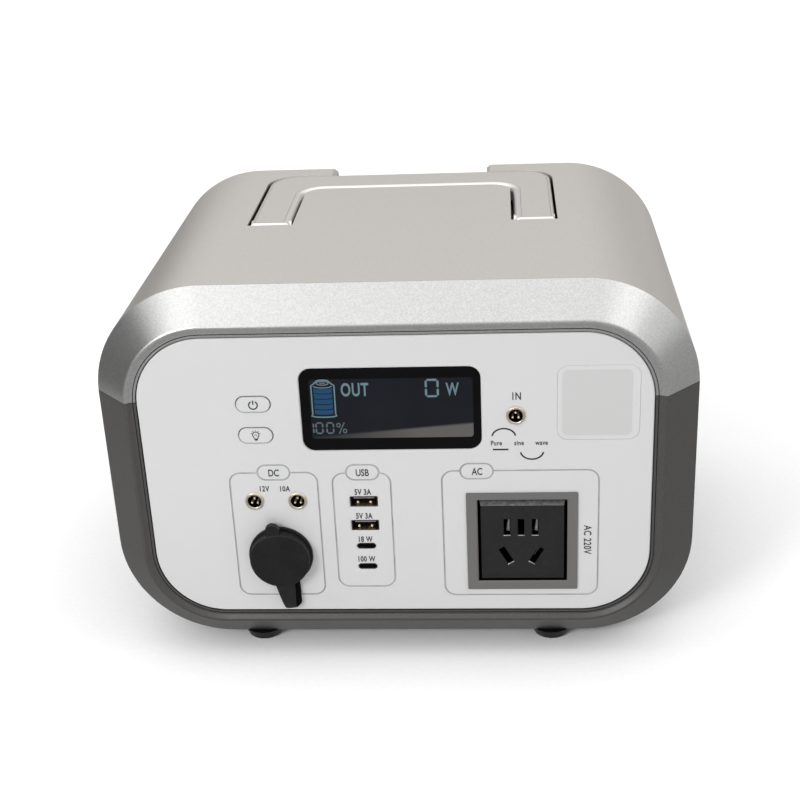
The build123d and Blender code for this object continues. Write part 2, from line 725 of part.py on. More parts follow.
def nickel_strips():
    strips = []
    for y in BANKS:
        for end in (y - 0.3, y + CELL_L):
            for pair in (0, 2, 4):
                x0, x1 = CELL_X[pair] - 6, CELL_X[pair + 1] + 6
                strips.append(block(x0, x1, end, end + 0.3, CELL_Z[0] - 5, CELL_Z[1] + 5))
    return strips


def battery_deck():
    deck = block(-131, 131, 60, 194, 87.0, 89.5) & slab(body_section(WALL + 0.3), 0, 240)
    for x in (-60, 0, 60):
        deck -= block(x - 12, x + 12, 184, 191, 80, 95)
    return deck


def bms_board():
    return block(-118, -36, 70, 170, 94.0, 95.6)


def inverter_board():
    return block(-28, 118, 62, 186, 94.0, 95.6)


def standoffs():
    places = [(x, y) for x in (-114, -40) for y in (74, 166)]
    places += [(x, y) for x in (-24, 114) for y in (66, 182)]
    return [post(x, y, 2.5, 89.5, 94.0) for x, y in places]


def heatsink(x, y0, y1):
    base = block(x, x + 34, y0, y1, 99.5, 103.5)
    fins = [block(x + 4.0 * k, x + 4.0 * k + 1.6, y0, y1, 103.5, 128.0) for k in range(9)]
    return joined([base] + fins)


def heatsinks():
    return [heatsink(-24, 100, 176), heatsink(78, 100, 176)]


def power_transistors():
    return [block(x, x + 15.6, y, y + 20, 95.6, 99.5) for x in (-18, 84) for y in (104, 128, 152)]


def transformer():
    core = block(20, 66, 118, 164, 95.6, 131.0) - block(27, 59, 117, 165, 103.5, 123.5)
    core += block(38, 48, 118, 164, 103.5, 123.5)
    winding = block(28, 58, 122, 160, 104.0, 123.0) - block(37.8, 48.2, 100, 180, 100, 130)
    return core, winding


def filter_capacitors():
    return [post(x, y, 8.9, 95.6, 130.0) for x in (30, 52) for y in (76, 97)]


def control_board():
    return block(-78, 68, 13.4, 15.0, 109, 156)


def outlet_boards():
    usb = block(-32, 0, 15.2, 16.8, 44, 94)
    jacks = block(-75, -38, 15.2, 16.8, 79.5, 95)
    return [usb, jacks]


def outlet_board_components():
    """Chips and a choke on the backs of the outlet boards."""
    parts = [block(-27, -19, 16.8, 18.4, 60, 68), block(-14, -6, 16.8, 18.4, 74, 82)]
    parts.append(block(-26, -14, 16.8, 24.8, 46, 58))
    parts.append(block(-66, -56, 16.8, 19.0, 83, 92))
    return parts


def wire_run(points, r, radius):
    path = FilletPolyline(*points, radius=radius)
    section = Plane(origin=path @ 0, z_dir=path % 0) * Circle(r)
    return sweep(section, path=path)


def battery_leads():
    leads = []
    for dx in (0, 9):
        leads.append(wire_run([(-100 + dx, 54, 70), (-100 + dx, 47, 70), (-100 + dx, 47, 98.2), (-100 + dx, 76, 98.2)],
                              2.2, 6.0))
    return leads


# ---- write every sub-part -----------------------------------------------------------------
front_ring = bezel_ring(PANEL_TOP)
rear_ring = flip(bezel_ring(REAR_PANEL_TOP)) - scoop_trough(TUB_WALL + 0.3)

export("upper_casing", upper_casing())
export("lower_casing", lower_casing())
export("front_bezel_upper", above_split(front_ring))
export("front_bezel_lower", below_split(front_ring))
export("rear_bezel_upper", above_split(rear_ring))
export("rear_bezel_lower", below_split(rear_ring))
export("front_panel", front_panel())
export("rear_panel", rear_panel())
export("rubber_feet", *rubber_feet())
export("casing_screws", *foot_screws(), *rear_panel_screws())

export("display_window", display_window())
export("lcd_module", *lcd_module())
export("led_lens", led_lens())
export("led_board", led_board())
export("led_chips", *led_chips())

export("ac_socket_frame", ac_socket_frame())
export("ac_socket_body", ac_socket_body())
export("ac_socket_contacts", *ac_socket_contacts())
for name, (x, z) in DC_JACKS.items():
    export(name, barrel_jack(x, z))
export("jack_pins", *jack_pins())
for name, (x, z) in USB_A.items():
    export(f"usb_a_port_{name}", usb_a_shell(x, z))
usb_tongues = [usb_a_tongue(x, z) for x, z in USB_A.values()]
usb_tongues += [usb_c_tongue(x, z) for x, z in USB_C.values()]
export("usb_tongues", *usb_tongues)
export("usb_a_contacts", *[piece for x, z in USB_A.values() for piece in usb_a_contacts(x, z)])
for name, (x, z) in USB_C.items():
    export(f"usb_c_port_{name}", usb_c_shell(x, z))
export("socket_flange", socket_flange())
export("socket_barrel", socket_barrel())
export("socket_contact", socket_contact())
export("socket_cap", socket_cap())
export("cap_strap", cap_strap())
export("cap_anchor", cap_anchor())

for name, z in BUTTON_Z.items():
    export(f"{name}_button", push_button(z))
    export(f"{name}_button_spring", button_spring(z))
export("tact_switches", *tact_switches())

export("carry_handle", carry_handle())
export("handle_cover", handle_cover())
export("handle_pins", *handle_pins())

export("fan_frame", fan_frame())
export("fan_rotor", fan_rotor())
export("fan_screws", *fan_screws())

export("battery_cells", *battery_cells())
export("cell_holders", *cell_holders())
export("nickel_strips", *nickel_strips())
export("battery_deck", battery_deck())
export("battery_leads", *battery_leads())
export("bms_board", bms_board())
export("inverter_board", inverter_board())
export("board_standoffs", *standoffs())
export("heatsinks", *heatsinks())
export("board_components", *power_transistors(), *outlet_board_components())
core, winding = transformer()
export("transformer_core", core)
export("transformer_winding", winding)
export("filter_capacitors", *filter_capacitors())
export("control_board", control_board())
export("outlet_boards", *outlet_boards())

print(len(written), "nodes;", sum(count for name, count in written), "solids")
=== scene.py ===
import json
import math

import bmesh
import bpy
from mathutils import Matrix, Vector


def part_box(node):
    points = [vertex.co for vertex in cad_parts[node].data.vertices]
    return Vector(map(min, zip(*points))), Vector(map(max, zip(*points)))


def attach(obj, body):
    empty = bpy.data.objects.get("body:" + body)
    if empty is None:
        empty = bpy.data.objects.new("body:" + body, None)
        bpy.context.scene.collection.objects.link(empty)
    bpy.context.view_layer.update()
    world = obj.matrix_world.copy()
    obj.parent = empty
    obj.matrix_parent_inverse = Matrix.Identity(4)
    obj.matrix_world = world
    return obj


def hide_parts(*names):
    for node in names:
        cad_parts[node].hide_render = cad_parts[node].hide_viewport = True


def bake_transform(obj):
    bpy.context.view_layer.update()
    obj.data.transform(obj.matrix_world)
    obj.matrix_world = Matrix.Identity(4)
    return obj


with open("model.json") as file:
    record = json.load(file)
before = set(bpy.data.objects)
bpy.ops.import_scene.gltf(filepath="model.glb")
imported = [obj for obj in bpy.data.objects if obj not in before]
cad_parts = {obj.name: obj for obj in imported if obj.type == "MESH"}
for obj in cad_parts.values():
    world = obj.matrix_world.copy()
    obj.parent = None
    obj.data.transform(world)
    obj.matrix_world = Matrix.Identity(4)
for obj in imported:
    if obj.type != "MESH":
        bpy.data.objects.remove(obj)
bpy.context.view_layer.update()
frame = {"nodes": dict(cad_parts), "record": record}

# Portable power station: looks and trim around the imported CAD. Metres; drawing is done in
# millimetres on planes parallel to the outlet panel, x to the right and z up.
MM = 0.001
PANEL_LOW, PANEL_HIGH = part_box("front_panel")
LENS_LOW, LENS_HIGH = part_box("led_lens")
FACE_Y = PANEL_LOW.y
GLASS_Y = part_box("display_window")[0].y
POWER_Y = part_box("power_button")[0].y
TONGUE_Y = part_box("usb_tongues")[0].y + 0.7 * MM
TOP_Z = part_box("upper_casing")[1].z
OUTLET_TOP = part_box("ac_socket_body")[1].z
PANEL_MIDDLE = (PANEL_LOW + PANEL_HIGH) / 2
PANEL_HALF = (PANEL_HIGH - PANEL_LOW) / 2
LENS_MIDDLE = (LENS_LOW + LENS_HIGH) / 2
# corner radius of the panel's hidden flange, and the thickness of printed ink
FLANGE_R = 34.4 * MM
INK_T = 0.03 * MM


# ---- material helpers ---------------------------------------------------------------------
def grey(level):
    return (level, level, level)


def add(tree, kind, **values):
    """New shader node; a value goes to the input of that name, or else to the property."""
    made = tree.nodes.new(kind)
    for key, value in values.items():
        if key in made.inputs:
            made.inputs[key].default_value = value
        else:
            setattr(made, key, value)
    return made


def spread(tree, source, low, high, span=(0.3, 0.7)):
    """Map a 0 to 1 texture value onto low to high."""
    remap = add(tree, "ShaderNodeMapRange")
    remap.inputs["From Min"].default_value = span[0]
    remap.inputs["From Max"].default_value = span[1]
    remap.inputs["To Min"].default_value = low
    remap.inputs["To Max"].default_value = high
    tree.links.new(source, remap.inputs["Value"])
    return remap.outputs["Result"]


def tinted(tree, colour, factors):
    """The base colour multiplied by each factor in turn."""
    current = None
    for factor in factors:
        mix = add(tree, "ShaderNodeVectorMath", operation="MULTIPLY")
        if current is None:
            mix.inputs[0].default_value = colour
        else:
            tree.links.new(current, mix.inputs[0])
        tree.links.new(factor, mix.inputs[1])
        current = mix.outputs["Vector"]
    return current


def surface(name, colour, rough, metal=0.0, specular=0.5, coat=0.0, cloud=(14.0, 0.03),
            grain=(2600.0, 0.12), flake=None, smudge=(45.0, 0.05), stretch=None):
    """Procedural finish: broad colour drift, fine grain in colour and relief, uneven gloss."""
    mat = bpy.data.materials.new(name)
    mat.use_nodes = True
    tree = mat.node_tree
    shader = tree.nodes["Principled BSDF"]
    place = add(tree, "ShaderNodeTexCoord").outputs["Object"]
    if stretch:
        mapping = add(tree, "ShaderNodeMapping")
        mapping.inputs["Scale"].default_value = stretch
        tree.links.new(place, mapping.inputs["Vector"])
        place = mapping.outputs["Vector"]
    broad = add(tree, "ShaderNodeTexNoise", Scale=cloud[0], Detail=3.0)
    fine = add(tree, "ShaderNodeTexNoise", Scale=grain[0], Detail=2.0, Roughness=0.6)
    patches = add(tree, "ShaderNodeTexNoise", Scale=smudge[0], Detail=4.0)
    for texture in (broad, fine, patches):
        tree.links.new(place, texture.inputs["Vector"])
    factors = [spread(tree, broad.outputs["Fac"], 1 - cloud[1], 1 + cloud[1]),
               spread(tree, fine.outputs["Fac"], 0.985, 1.015)]
    if flake:
        cells = add(tree, "ShaderNodeTexVoronoi", Scale=flake[0])
        tree.links.new(place, cells.inputs["Vector"])
        split = add(tree, "ShaderNodeSeparateColor")
        tree.links.new(cells.outputs["Color"], split.inputs["Color"])
        factors.append(spread(tree, split.outputs["Red"], 1 - flake[1], 1 + flake[1], (0.0, 1.0)))
    tree.links.new(tinted(tree, colour, factors), shader.inputs["Base Color"])
    tree.links.new(spread(tree, patches.outputs["Fac"], rough - smudge[1], rough + smudge[1]),
                   shader.inputs["Roughness"])
    bump = add(tree, "ShaderNodeBump", Strength=grain[1], Distance=0.06 * MM)
    tree.links.new(fine.outputs["Fac"], bump.inputs["Height"])
    tree.links.new(bump.outputs["Normal"], shader.inputs["Normal"])
    shader.inputs["Metallic"].default_value = metal
    shader.inputs["Specular IOR Level"].default_value = specular
    shader.inputs["Coat Weight"].default_value = coat
    shader.inputs["Coat Roughness"].default_value = 0.1
    return mat


def glowing(name, colour, glow, rough=0.35, specular=0.1):
    """Display ink that gives a little light of its own, with a slight unevenness."""
    mat = surface(name, colour, rough, specular=specular, cloud=(60.0, 0.12), grain=(900.0, 0.02))
    shader = mat.node_tree.nodes["Principled BSDF"]
    shader.inputs["Emission Color"].default_value = (*colour, 1.0)
    shader.inputs["Emission Strength"].default_value = glow
    return mat


# ---- materials, one for each of the record's slots ------------------------------------------
SILVER = (0.595, 0.565, 0.53)
BRIGHT_SILVER = (0.50, 0.50, 0.495)
GRAPHITE = (0.088, 0.085, 0.083)
PANEL_WHITE = (0.520, 0.520, 0.522)

looks = {
    "silver_paint": surface("silver_paint", SILVER, 0.38, metal=0.75, flake=(2600.0, 0.05),
                            grain=(2400.0, 0.08), cloud=(6.0, 0.008), smudge=(9.0, 0.006)),
    "bezel_silver": surface("bezel_silver", BRIGHT_SILVER, 0.34, metal=0.92, flake=(2400.0, 0.12),
                            grain=(2100.0, 0.22), cloud=(10.0, 0.01), smudge=(12.0, 0.012)),
    "graphite_paint": surface("graphite_paint", GRAPHITE, 0.42, metal=0.5, specular=0.3,
                              flake=(2400.0, 0.10), grain=(2100.0, 0.12), cloud=(10.0, 0.01),
                              smudge=(12.0, 0.008)),
    "white_panel": surface("white_panel", PANEL_WHITE, 0.40, specular=0.3, cloud=(9.0, 0.012),
                           grain=(3200.0, 0.05)),
    "smoked_glass": surface("smoked_glass", (0.0035, 0.0035, 0.004), 0.10, specular=0.06,
                            cloud=(30.0, 0.2), grain=(2500.0, 0.01), smudge=(70.0, 0.05)),
    "lcd_glass": surface("lcd_glass", (0.03, 0.035, 0.04), 0.12, specular=0.3),
    "diffuser": surface("diffuser", (0.52, 0.52, 0.522), 0.55, specular=0.2, cloud=(22.0, 0.02),
                        grain=(1400.0, 0.10)),
    "grey_bezel": surface("grey_bezel", (0.120, 0.117, 0.113), 0.48, specular=0.35,
                          grain=(2200.0, 0.20)),
    "black_plastic": surface("black_plastic", grey(0.009), 0.50, specular=0.38, cloud=(60.0, 0.15),
                             grain=(1500.0, 0.25), flake=(900.0, 0.15)),
    "rubber": surface("rubber", grey(0.006), 0.50, specular=0.28, cloud=(90.0, 0.22),
                      grain=(1800.0, 0.35), flake=(1100.0, 0.22)),
    "nickel_plate": surface("nickel_plate", (0.80, 0.70, 0.58), 0.30, metal=1.0,
                            grain=(1200.0, 0.12), cloud=(180.0, 0.10)),
    "brass": surface("brass", (0.90, 0.76, 0.52), 0.40, metal=0.7, grain=(1500.0, 0.1),
                     cloud=(200.0, 0.12)),
    "screw_steel": surface("screw_steel", grey(0.16), 0.38, metal=0.9, grain=(1500.0, 0.2)),
    "cell_can": surface("cell_can", (0.04, 0.12, 0.36), 0.38, coat=0.4, cloud=(20.0, 0.06)),
    "board": surface("board", (0.02, 0.13, 0.05), 0.42, cloud=(70.0, 0.20), grain=(700.0, 0.25),
                     flake=(500.0, 0.18)),
    "component": surface("component", grey(0.025), 0.5, cloud=(120.0, 0.2)),
    "led_yellow": surface("led_yellow", (0.80, 0.68, 0.25), 0.45, cloud=(300.0, 0.1)),
    "heatsink": surface("heatsink", grey(0.62), 0.35, metal=1.0, stretch=(1.0, 0.05, 1.0)),
    "ferrite": surface("ferrite", grey(0.05), 0.6, grain=(900.0, 0.4)),
    "copper_winding": surface("copper_winding", (0.48, 0.20, 0.09), 0.35, metal=0.8,
                              grain=(800.0, 0.5), stretch=(0.1, 1.0, 0.1)),
    "tray": surface("tray", grey(0.06), 0.5, grain=(1500.0, 0.3)),
    "cable_red": surface("cable_red", (0.42, 0.02, 0.02), 0.45, cloud=(60.0, 0.08)),
}

# second finishes for some faces of a node, several of them painted highlights and painted shade, and
# the inks of the printing and the display
lit_black = surface("lit_black", grey(0.07), 0.42, specular=0.9, cloud=(500.0, 0.5),
                    grain=(1800.0, 0.6), flake=(1500.0, 0.4))
dark_steel = surface("dark_steel", (0.10, 0.08, 0.055), 0.35, metal=0.8, cloud=(300.0, 0.2))
steel = surface("contact_steel", grey(0.45), 0.45, metal=0.6, cloud=(500.0, 0.3), grain=(1500.0, 0.4))
# painted highlight on the lower edges of the contact slots
sill_highlight = surface("painted_sill_highlight", grey(0.27), 0.40, metal=0.2, cloud=(900.0, 0.6), grain=(1200.0, 0.5),
                flake=(1600.0, 0.5))
# near black that stands in for shade in holes, slots, gaps and on the strap's right side; in the
# barrel jacks it is also their black insert
painted_shade_black = surface("painted_shade_black", grey(0.0012), 0.7, specular=0.05, cloud=(150.0, 0.2))
# painted shade in the bezel's lip line and in the gap next to the panel
seam_painted_shade = surface("seam_painted_shade", grey(0.02), 0.6, specular=0.2, cloud=(150.0, 0.2))
# painted highlight: a lighter copy of the silver paint for the handle's rounded edges
silver_painted_highlight = surface("silver_painted_highlight", (0.76, 0.74, 0.71), 0.30, metal=0.8, grain=(2400.0, 0.05),
                      smudge=(60.0, 0.02))
tongue_painted_highlight = surface("tongue_painted_highlight", grey(0.30), 0.45, specular=0.4, cloud=(300.0, 0.2))
strap_rubber = surface("strap_rubber", grey(0.006), 0.28, specular=0.45, cloud=(260.0, 0.4),
                       grain=(1500.0, 0.4), smudge=(400.0, 0.12))
# painted shade in the engraved lines of the panel
groove_painted_shade = surface("groove_painted_shade", grey(0.37), 0.6, specular=0.1, cloud=(120.0, 0.15))
ink = surface("ink_grey", grey(0.05), 0.55, specular=0.15, cloud=(220.0, 0.18), grain=(2500.0, 0.05))
mark = surface("ink_dark", grey(0.022), 0.55, specular=0.15, cloud=(220.0, 0.18), grain=(2500.0, 0.05))
lcd_back = glowing("lcd_back", (0.0070, 0.0076, 0.0100), 0.6, rough=0.2, specular=0.06)
lcd_line = glowing("lcd_line", (0.072, 0.116, 0.138), 0.65)
lcd_fill = glowing("lcd_fill", (0.008, 0.034, 0.075), 0.65)
lcd_faint = glowing("lcd_faint", (0.052, 0.068, 0.076), 0.7)


# ---- colour by place, with painted shade in the handle's well and a painted reflection on the display ---
def object_axes(tree):
    """The X, Y and Z of the shaded point, in object coordinates."""
    split = add(tree, "ShaderNodeSeparateXYZ")
    tree.links.new(add(tree, "ShaderNodeTexCoord").outputs["Object"], split.inputs["Vector"])
    return split.outputs


def axis_distance(tree, axis, middle):
    """Distance along one axis from a plane."""
    offset = add(tree, "ShaderNodeMath", operation="SUBTRACT")
    tree.links.new(object_axes(tree)[axis], offset.inputs[0])
    offset.inputs[1].default_value = middle
    size = add(tree, "ShaderNodeMath", operation="ABSOLUTE")
    tree.links.new(offset.outputs["Value"], size.inputs[0])
    return size.outputs["Value"]


def multiply(tree, first, second):
    product = add(tree, "ShaderNodeMath", operation="MULTIPLY")
    tree.links.new(first, product.inputs[0])
    tree.links.new(second, product.inputs[1])
    return product.outputs["Value"]


def blend_base(mat, amount, colour):
    """Blend the base colour to another by an amount from 0 to 1."""
    tree = mat.node_tree
    base = tree.nodes["Principled BSDF"].inputs["Base Color"]
    mix = add(tree, "ShaderNodeMix", data_type="RGBA")
    tree.links.new(amount, mix.inputs[0])
    tree.links.new(base.links[0].from_socket, mix.inputs[6])
    mix.inputs[7].default_value = (*colour, 1.0)
    tree.links.new(mix.outputs[2], base)


def shade_inside(mat, x, z, half_w, half_h, corner, soft, colour):
    """Blend the base colour to another inside a soft-edged rounded rectangle of the face."""
    tree = mat.node_tree
    outside = add(tree, "ShaderNodeCombineXYZ")
    for axis, middle, half in (("X", x, half_w), ("Z", z, half_h)):
        past = add(tree, "ShaderNodeMath", operation="SUBTRACT")
        tree.links.new(axis_distance(tree, axis, middle), past.inputs[0])
        past.inputs[1].default_value = half - corner
        held = add(tree, "ShaderNodeMath", operation="MAXIMUM")
        tree.links.new(past.outputs["Value"], held.inputs[0])
        held.inputs[1].default_value = 0.0
        tree.links.new(held.outputs["Value"], outside.inputs[axis])
    away = add(tree, "ShaderNodeVectorMath", operation="LENGTH")
    tree.links.new(outside.outputs["Vector"], away.inputs[0])
    amount = spread(tree, away.outputs["Value"], 1.0, 0.0, (corner - soft, corner + soft))
    blend_base(mat, amount, colour)


def paint_shade_in_well(mat, half_width, y, half_length, colour):
    """Painted shade: fade to near black below the top face, in the well that the handle folds into."""
    tree = mat.node_tree
    sunk = spread(tree, object_axes(tree)["Z"], 1.0, 0.0, (TOP_Z - 1.6 * MM, TOP_Z - 0.7 * MM))
    across = spread(tree, axis_distance(tree, "X", 0.0), 1.0, 0.0,
                    (half_width - 0.5 * MM, half_width + 0.5 * MM))
    along = spread(tree, axis_distance(tree, "Y", y), 1.0, 0.0,
                   (half_length - 1.0 * MM, half_length + 10.0 * MM))
    blend_base(mat, multiply(tree, multiply(tree, sunk, across), along), colour)


def add_painted_reflection(mat, x, z, slope, soft, colour):
    """Painted reflection: a pale wedge in the display's glow below a slanting line through (x, z)."""
    tree = mat.node_tree
    shader = tree.nodes["Principled BSDF"]
    axes = object_axes(tree)
    rise = add(tree, "ShaderNodeMath", operation="MULTIPLY_ADD")
    tree.links.new(axes["X"], rise.inputs[0])
    rise.inputs[1].default_value = -slope
    tree.links.new(axes["Z"], rise.inputs[2])
    level = z - slope * x
    amount = spread(tree, rise.outputs["Value"], 1.0, 0.0, (level - soft, level + soft))
    fade = spread(tree, axes["X"], 0.15, 1.0, (-30.0 * MM, 12.0 * MM))
    mix = add(tree, "ShaderNodeMix", data_type="RGBA")
    tree.links.new(multiply(tree, amount, fade), mix.inputs[0])
    mix.inputs[6].default_value = shader.inputs["Emission Color"].default_value
    mix.inputs[7].default_value = (*colour, 1.0)
    tree.links.new(mix.outputs[2], shader.inputs["Emission Color"])


shade_inside(looks["diffuser"], LENS_MIDDLE.x - 0.6 * MM, LENS_MIDDLE.z, half_w=15.6 * MM,
             half_h=16.1 * MM, corner=2.8 * MM, soft=0.3 * MM, colour=(0.463, 0.463, 0.461))
# painted reflection across the lower part of the display
add_painted_reflection(lcd_back, 0.0, 122.2 * MM, slope=0.085, soft=0.6 * MM, colour=(0.185, 0.172, 0.158))


# ---- finishes on the CAD nodes, with painted highlights and painted shade on some faces ---
for entry in frame["record"]["subparts"]:
    node_object = frame["nodes"][entry["node"]]
    node_object.data.materials.clear()
    node_object.data.materials.append(looks[entry["material_slot"]])

# the casing's silver paint, with painted shade in the well that the handle folds into
casing_paint_and_shade = looks["silver_paint"].copy()
paint_shade_in_well(casing_paint_and_shade, half_width=79.5 * MM, y=FACE_Y + 137 * MM, half_length=38 * MM,
            colour=(0.004, 0.004, 0.004))
frame["nodes"]["upper_casing"].data.materials[0] = casing_paint_and_shade


def repaint(node, material, chosen):
    """Give the faces of a CAD node that chosen(centre, normal) picks a second material."""
    mesh = frame["nodes"][node].data
    mesh.materials.append(material)
    index = len(mesh.materials) - 1
    for face in mesh.polygons:
        if chosen(face.center, face.normal):
            face.material_index = index


def every_face(centre, normal):
    """The whole node."""
    return True


def front_rim(centre, normal):
    """Front edge of a USB port's metal shell."""
    return normal.y < -0.5


def groove_floor(centre, normal):
    """Bottom of the engraved lines round the groups of outlets, painted grey as the shade in the
    grooves.
    """
    return abs(centre.y - FACE_Y - 0.4 * MM) < 0.05 * MM and normal.y < -0.9


def down_the_hole(centre, normal):
    """Inside of a barrel jack: its black insert, painted darker still as the shade in the bore."""
    return centre.y > FACE_Y + 0.6 * MM


def outlet_brow(centre, normal):
    """Sloping upper margin of the mains outlet's face, painted as a lit copy of the black."""
    return normal.z > 0.2 and normal.y < -0.5 and centre.z > OUTLET_TOP - 6.2 * MM


def slot_sill(centre, normal):
    """Lower edge of a contact slot, painted lighter as a highlight."""
    return normal.z > 0.45 and -0.95 < normal.y < -0.3 and centre.z < OUTLET_TOP - 7.0 * MM


def outlet_depths(centre, normal):
    """Walls of the contact slots and the outer sides of the mains outlet, painted near black as shade.
    """
    return centre.y > FACE_Y + 1.0 * MM and not outlet_brow(centre, normal)


def frame_throat(centre, normal):
    """Inside of the frame round the mains outlet, painted near black as shade."""
    return abs(normal.y) < 0.4 and centre.y > FACE_Y - 0.1 * MM


def shell_inside(centre, normal):
    """Walls of a USB port, except those that face up, painted near black as shade."""
    return abs(normal.y) < 0.5 and normal.z < 0.5


def all_but_top(centre, normal):
    """Front, ends and underside of a USB tongue, painted near black as shade."""
    return normal.z < 0.5


def rounded_rim(centre, normal):
    """Rounded upper edges of the handle, painted lighter as a highlight."""
    return 0.25 < normal.z < 0.97 and centre.z > TOP_Z - 4.0 * MM


def past_flange(centre):
    """Distance outside the rounded outline of the panel's hidden flange, negative inside it."""
    across = abs(centre.x - PANEL_MIDDLE.x) - PANEL_HALF.x + FLANGE_R
    up = abs(centre.z - PANEL_MIDDLE.z) - PANEL_HALF.z + FLANGE_R
    return math.hypot(max(across, 0), max(up, 0)) + min(max(across, up), 0) - FLANGE_R


def hidden_seam(centre, normal):
    """Fine line in the lip and the wall of the gap next to the panel, painted near black as shade."""
    sunk = FACE_Y + 0.25 * MM < centre.y < FACE_Y + 3.5 * MM
    return sunk and past_flange(centre) < -0.2 * MM


repaint("front_panel", groove_painted_shade, groove_floor)
for jack in ("dc_jack_left", "dc_jack_right", "input_jack"):
    repaint(jack, painted_shade_black, down_the_hole)
repaint("ac_socket_body", painted_shade_black, outlet_depths)
# painted highlight: the outlet's upward-facing brow gets the lighter black
repaint("ac_socket_body", lit_black, outlet_brow)
# painted highlight on the slot sills
repaint("ac_socket_body", sill_highlight, slot_sill)
repaint("ac_socket_frame", painted_shade_black, frame_throat)
repaint("ac_socket_contacts", steel, every_face)
for port in ("usb_a_port_upper", "usb_a_port_lower", "usb_c_port_upper", "usb_c_port_lower"):
    repaint(port, painted_shade_black, shell_inside)
    repaint(port, dark_steel, front_rim)
repaint("usb_tongues", painted_shade_black, all_but_top)
repaint("carry_handle", silver_painted_highlight, rounded_rim)
for ring in ("front_bezel_upper", "front_bezel_lower"):
    repaint(ring, seam_painted_shade, hidden_seam)


# ---- drawing on planes parallel to the panel ----------------------------------------------
def prism_mesh(name, faces_xz, y):
    """Prisms as thin as ink, one for each outline in millimetres; front at y, body behind it."""
    bm = bmesh.new()
    for outline in faces_xz:
        front = [bm.verts.new((x * MM, y, z * MM)) for x, z in outline]
        back = [bm.verts.new((x * MM, y + INK_T, z * MM)) for x, z in outline]
        bm.faces.new(front)
        bm.faces.new(list(reversed(back)))
        for k in range(len(outline)):
            n = (k + 1) % len(outline)
            bm.faces.new((front[k], back[k], back[n], front[n]))
    bmesh.ops.recalc_face_normals(bm, faces=bm.faces)
    mesh = bpy.data.meshes.new(name)
    bm.to_mesh(mesh)
    bm.free()
    return mesh


def placed(name, mesh, material, body):
    """Put a mesh into the scene as a piece that moves with a body."""
    piece = bpy.data.objects.new(name, mesh)
    bpy.context.scene.collection.objects.link(piece)
    mesh.materials.append(material)
    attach(piece, body)


def flat(name, outlines, y, material, body="shell"):
    """Printed shape with its front at y."""
    placed(name, prism_mesh(name, outlines, y), material, body)


def arc(cx, cz, rx, rz, start, end, count=24):
    """Points on an ellipse from start to end degrees."""
    steps = [math.radians(start + (end - start) * k / count) for k in range(count + 1)]
    return [(cx + rx * math.cos(t), cz + rz * math.sin(t)) for t in steps]


def stroke(points, width, closed=False):
    """Quads that follow a polyline at an even width, mitred at the corners."""
    count = len(points)
    left, right = [], []
    for k, (x, z) in enumerate(points):
        before = points[k - 1] if (k > 0 or closed) else points[k]
        after = points[(k + 1) % count] if (k < count - 1 or closed) else points[k]
        heading = Vector((after[0] - before[0], after[1] - before[1])).normalized()
        side = Vector((-heading.y, heading.x)) * width / 2
        left.append((x + side.x, z + side.y))
        right.append((x - side.x, z - side.y))
    last = count if closed else count - 1
    return [[left[k], right[k], right[(k + 1) % count], left[(k + 1) % count]] for k in range(last)]


def rounded_rect(x0, x1, z0, z1, r, count=8):
    """Outline of a rectangle with round corners of radius r."""
    corners = [(x1 - r, z1 - r, 0), (x0 + r, z1 - r, 90), (x0 + r, z0 + r, 180), (x1 - r, z0 + r, 270)]
    return [p for cx, cz, turn in corners for p in arc(cx, cz, r, r, turn, turn + 90, count)]


def capital_height():
    """Height of a capital letter of the built-in typeface at size 1."""
    curve = bpy.data.curves.new("sample_curve", "FONT")
    curve.body = "H"
    holder = bpy.data.objects.new("sample", curve)
    bpy.context.scene.collection.objects.link(holder)
    bpy.context.view_layer.update()
    height = holder.dimensions.y
    bpy.data.objects.remove(holder)
    return height


CAPITAL = capital_height()


def letters(name, text, x, z, height, y, material, body="shell", squeeze=0.8, spacing=1.0,
            bolder=0.022, turn=0.0):
    """Lettering centred on (x, z): the built-in typeface turned into a thin mesh."""
    half_depth = 0.01
    curve = bpy.data.curves.new(name + "_curve", "FONT")
    curve.body = text
    curve.align_x = "CENTER"
    curve.size = 1.0
    curve.space_character = spacing
    curve.offset = bolder
    curve.resolution_u = 4
    curve.extrude = half_depth
    holder = bpy.data.objects.new(name + "_holder", curve)
    bpy.context.scene.collection.objects.link(holder)
    bpy.context.view_layer.update()
    mesh = bpy.data.meshes.new_from_object(holder.evaluated_get(bpy.context.evaluated_depsgraph_get()))
    bpy.data.objects.remove(holder)
    scale = height / CAPITAL * MM
    middle = CAPITAL / 2
    xs = [v.co.x for v in mesh.vertices]
    across = (max(xs) + min(xs)) / 2
    rotation = Matrix.Rotation(math.radians(turn), 4, "Y")
    flatten = Matrix(((scale * squeeze, 0, 0, -across * scale * squeeze),
                      (0, 0, -INK_T / 2 / half_depth, 0),
                      (0, scale, 0, -middle * scale),
                      (0, 0, 0, 1)))
    mesh.transform(Matrix.Translation((x * MM, y, z * MM)) @ rotation @ flatten)
    mesh.name = name
    placed(name, mesh, material, body)


